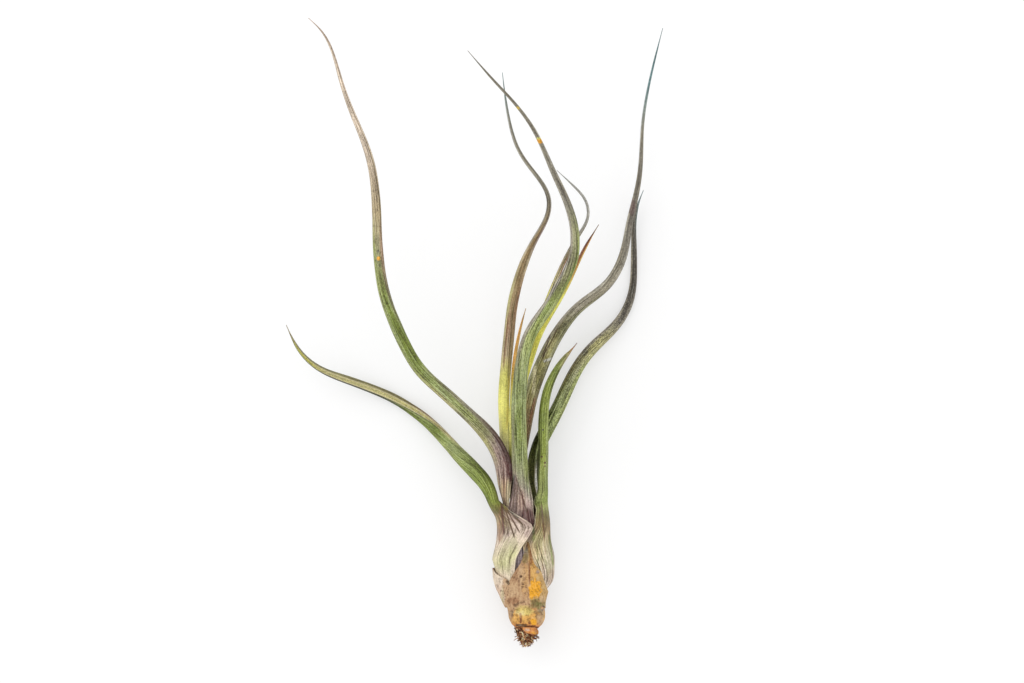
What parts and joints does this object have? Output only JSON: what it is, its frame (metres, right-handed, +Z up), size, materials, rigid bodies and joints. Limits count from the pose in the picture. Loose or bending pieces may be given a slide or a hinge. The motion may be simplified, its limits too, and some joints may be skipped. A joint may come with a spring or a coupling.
{
  "type": "tillandsia pseudobaileyi",
  "caption": "Bulbous air plant lying on its side: nested leaf sheaths form a bulb, and long rolled twisting leaves spread from its neck; dry husks and wiry roots at the foot.",
  "frame": {"origin": "the middle of the bounding box on the surface that the plant lies on", "axes": "+Y runs along the plant from its roots to its leaf tips, +Z is up from the surface, and +X is to the right seen from above with the tips away"},
  "size_m": [0.126, 0.2106, 0.0583],
  "materials": {
    "leaf_green": "satin",
    "leaf_mottled": "satin",
    "leaf_dark": "satin",
    "leaf_yellow": "satin",
    "husk_tan": "matte",
    "husk_pale": "matte",
    "root_brown": "rough"
  },
  "bodies": {
    "root": {"stem_with_roots": "root_brown", "husk_base": "husk_tan", "husk_front": "husk_tan", "husk_left": "husk_pale", "basal_scale": "husk_pale", "leaf_01": "leaf_green", "leaf_02": "leaf_mottled", "leaf_03": "leaf_mottled", "leaf_04": "leaf_yellow", "leaf_05": "leaf_yellow", "leaf_06": "leaf_yellow", "leaf_07": "leaf_yellow", "leaf_08": "leaf_mottled", "leaf_09": "leaf_dark", "leaf_10": "leaf_green"}
  },
  "joints": []
}
